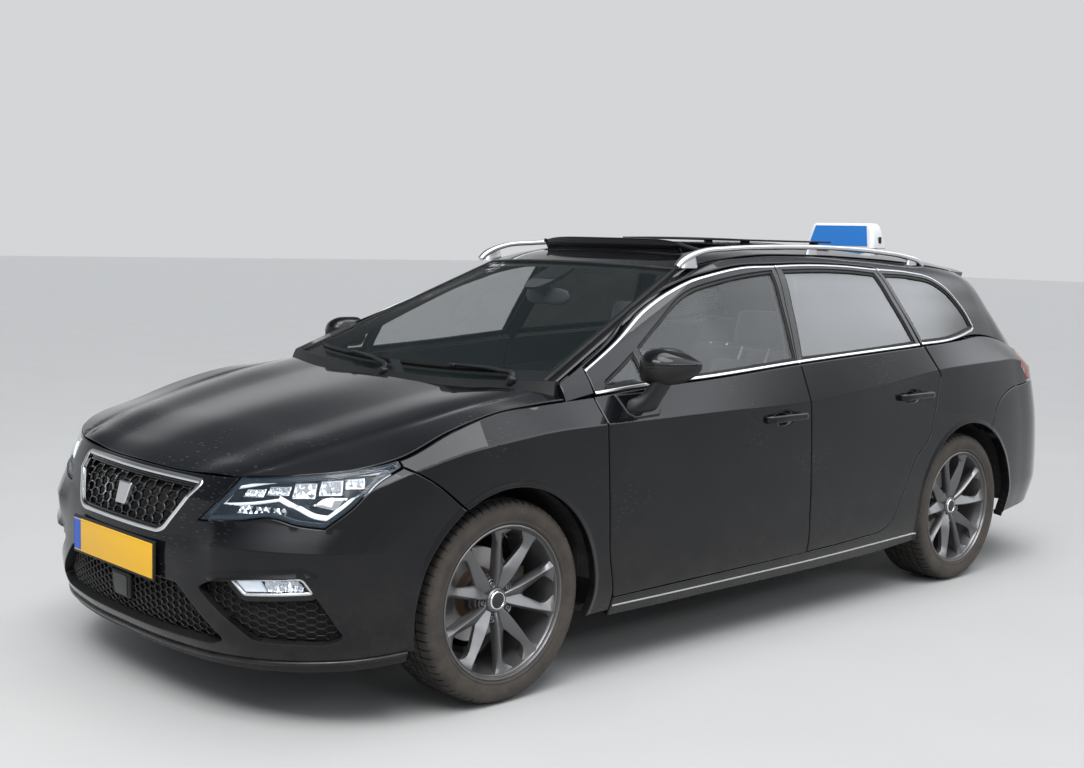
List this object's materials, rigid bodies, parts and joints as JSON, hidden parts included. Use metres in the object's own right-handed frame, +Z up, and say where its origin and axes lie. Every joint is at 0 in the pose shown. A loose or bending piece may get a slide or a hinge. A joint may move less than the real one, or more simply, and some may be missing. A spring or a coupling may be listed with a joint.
{
  "type": "estate car taxi",
  "caption": "Compact black estate car with hinged doors, bonnet and tailgate, steered front wheels, roof rails and a blank roof sign.",
  "frame": {"origin": "on the ground, below the centre of the car's length and width", "axes": "+X towards the front, +Y towards the car's left side, +Z up"},
  "size_m": [4.548, 2.016, 1.54],
  "materials": {
    "paint": "gloss black with clear coat",
    "grille_black": "gloss black",
    "lamp_clear": "clear",
    "screen_glass": "clear",
    "side_glass": "lightly tinted",
    "dark_glass": "dark tinted",
    "trim_black": "matt",
    "rail_metal": "satin",
    "sign_white": "gloss",
    "plate_yellow": "reflective",
    "lamp_red": "red",
    "underbody": "matt",
    "engine_metal": "cast",
    "chassis_steel": "matt",
    "exhaust_steel": "dull",
    "seat_fabric": "woven",
    "interior_plastic": "grained",
    "wheel_grey": "satin dark grey",
    "tyre": "rubber"
  },
  "bodies": {
    "body": {"front_bumper": "paint", "grilles": "grille_black", "front_wings": "paint", "headlamps": "lamp_clear", "fog_lamps": "lamp_clear", "windscreen": "screen_glass", "scuttle": "trim_black", "wipers": "trim_black", "roof_panel": "paint", "sunroof_pane": "dark_glass", "wind_deflector": "trim_black", "roof_rails": "rail_metal", "taxi_sign": "sign_white", "front_plate": "plate_yellow", "rear_lamps": "lamp_red", "rear_bumper": "paint", "quarter_glass": "dark_glass", "floor_pan": "underbody", "arch_liners": "trim_black", "engine": "engine_metal", "front_subframe": "chassis_steel", "rear_axle": "chassis_steel", "exhaust": "exhaust_steel", "front_seats": "seat_fabric", "rear_seat": "seat_fabric", "dashboard": "interior_plastic", "side_frame_left": "paint", "side_frame_right": "paint"},
    "bonnet": {"bonnet": "paint"},
    "tailgate": {"tailgate": "paint", "tailgate_glass": "dark_glass", "tailgate_lamps": "lamp_red", "rear_plate": "plate_yellow"},
    "front_door_left": {"front_door_left": "paint", "front_door_glass_left": "side_glass", "door_mirror_left": "paint"},
    "front_door_right": {"front_door_right": "paint", "front_door_glass_right": "side_glass", "door_mirror_right": "paint"},
    "rear_door_left": {"rear_door_left": "paint", "rear_door_glass_left": "dark_glass"},
    "rear_door_right": {"rear_door_right": "paint", "rear_door_glass_right": "dark_glass"},
    "steering_wheel": {"steering_wheel": "interior_plastic"},
    "knuckle_left": {"knuckle_left": "chassis_steel"},
    "knuckle_right": {"knuckle_right": "chassis_steel"},
    "wheel_front_left": {"wheel_front_left": "wheel_grey", "tyre_front_left": "tyre"},
    "wheel_front_right": {"wheel_front_right": "wheel_grey", "tyre_front_right": "tyre"},
    "wheel_rear_left": {"wheel_rear_left": "wheel_grey", "tyre_rear_left": "tyre"},
    "wheel_rear_right": {"wheel_rear_right": "wheel_grey", "tyre_rear_right": "tyre"}
  },
  "joints": [
    {"name": "front_door_left_hinge", "type": "hinge", "parent": "body", "child": "front_door_left", "pos_m": [1, 0.893, 0.6], "axis": [0, 0, -1], "range_deg": [0, 65]},
    {"name": "front_door_right_hinge", "type": "hinge", "parent": "body", "child": "front_door_right", "pos_m": [1, -0.893, 0.6], "axis": [0, 0, 1], "range_deg": [0, 65]},
    {"name": "rear_door_left_hinge", "type": "hinge", "parent": "body", "child": "rear_door_left", "pos_m": [-0.062, 0.893, 0.6], "axis": [0, 0, -1], "range_deg": [0, 65]},
    {"name": "rear_door_right_hinge", "type": "hinge", "parent": "body", "child": "rear_door_right", "pos_m": [-0.062, -0.893, 0.6], "axis": [0, 0, 1], "range_deg": [0, 65]},
    {"name": "bonnet_hinge", "type": "hinge", "parent": "body", "child": "bonnet", "pos_m": [1.118, 0, 0.935], "axis": [0, -1, 0], "range_deg": [0, 50]},
    {"name": "tailgate_hinge", "type": "hinge", "parent": "body", "child": "tailgate", "pos_m": [-1.638, 0, 1.392], "axis": [0, 1, 0], "range_deg": [0, 75]},
    {"name": "steer_left", "type": "hinge", "parent": "body", "child": "knuckle_left", "pos_m": [1.416, 0.694, 0.158], "axis": [0, -0.1145, 0.9934], "range_deg": [-33, 33]},
    {"name": "steer_right", "type": "hinge", "parent": "body", "child": "knuckle_right", "pos_m": [1.416, -0.694, 0.158], "axis": [0, 0.1145, 0.9934], "range_deg": [-33, 33]},
    {"name": "steering_wheel_turn", "type": "hinge", "parent": "body", "child": "steering_wheel", "pos_m": [0.56, 0.365, 0.82], "axis": [-0.9063, 0, 0.4226], "range_deg": [-480, 480]},
    {"name": "wheel_front_left_spin", "type": "hinge", "parent": "knuckle_left", "child": "wheel_front_left", "pos_m": [1.416, 0.766, 0.318], "axis": [0, 1, 0], "continuous": true},
    {"name": "wheel_front_right_spin", "type": "hinge", "parent": "knuckle_right", "child": "wheel_front_right", "pos_m": [1.416, -0.766, 0.318], "axis": [0, 1, 0], "continuous": true},
    {"name": "wheel_rear_left_spin", "type": "hinge", "parent": "body", "child": "wheel_rear_left", "pos_m": [-1.22, 0.755, 0.318], "axis": [0, 1, 0], "continuous": true},
    {"name": "wheel_rear_right_spin", "type": "hinge", "parent": "body", "child": "wheel_rear_right", "pos_m": [-1.22, -0.755, 0.318], "axis": [0, 1, 0], "continuous": true}
  ],
  "couplings": [
    {"joint": "steer_right", "follows": "steer_left", "ratio": 1},
    {"joint": "steering_wheel_turn", "follows": "steer_left", "ratio": 14.5}
  ]
}
